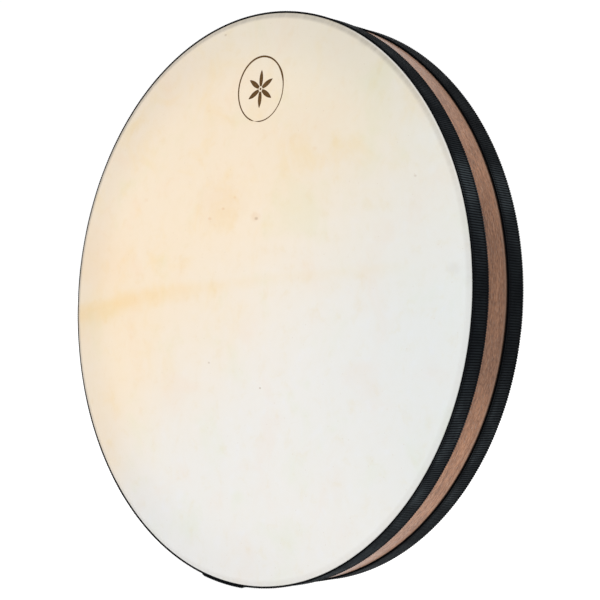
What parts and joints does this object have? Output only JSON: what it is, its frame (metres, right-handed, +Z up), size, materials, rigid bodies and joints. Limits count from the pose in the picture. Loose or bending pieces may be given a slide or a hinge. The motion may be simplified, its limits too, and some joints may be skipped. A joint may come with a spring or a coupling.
{
  "type": "bodhran",
  "caption": "Round shallow frame drum: a tight skin head on a bent wooden hoop, webbing bands around both edges, and crossed hand bars in the open back.",
  "frame": {"origin": "middle of the crossing of the two crossbars, where the hand holds the drum: on the axis of the hoop, 10.5 mm in front of its back edge", "axes": "+Z up to the printed rosette, -Y the way the head faces, +Y out of the open back along the hoop's axis, +X to the right as seen from the head side"},
  "size_m": [0.5634, 0.0747, 0.565],
  "materials": {
    "hide": "smooth dry goatskin, cream with amber patches and a spine streak, matt with a faint sheen",
    "walnut_face": "reddish walnut brown with fine grain around the hoop, satin",
    "core_wood": "laminated hardwood, edge showing thin glue lines, satin oil",
    "lining_wood": "brown stained lining ply, satin",
    "bar_wood": "brown stained hardwood with straight grain, satin, rubbed paler at the edges",
    "webbing": "black ribbed webbing, ribs across its width",
    "steel": "zinc plated",
    "brass": "dull brass",
    "ink": "brown printing ink"
  },
  "bodies": {
    "root": {"shell_outer_ply": "walnut_face", "shell_core": "core_wood", "shell_inner_ply": "lining_wood", "drum_head": "hide", "head_staples": "steel", "head_print": "ink", "front_band": "webbing", "rear_band": "webbing", "crossbar_upright": "bar_wood", "crossbar_level": "bar_wood", "crossbar_screws": "steel", "crossing_screw": "brass"}
  },
  "joints": []
}
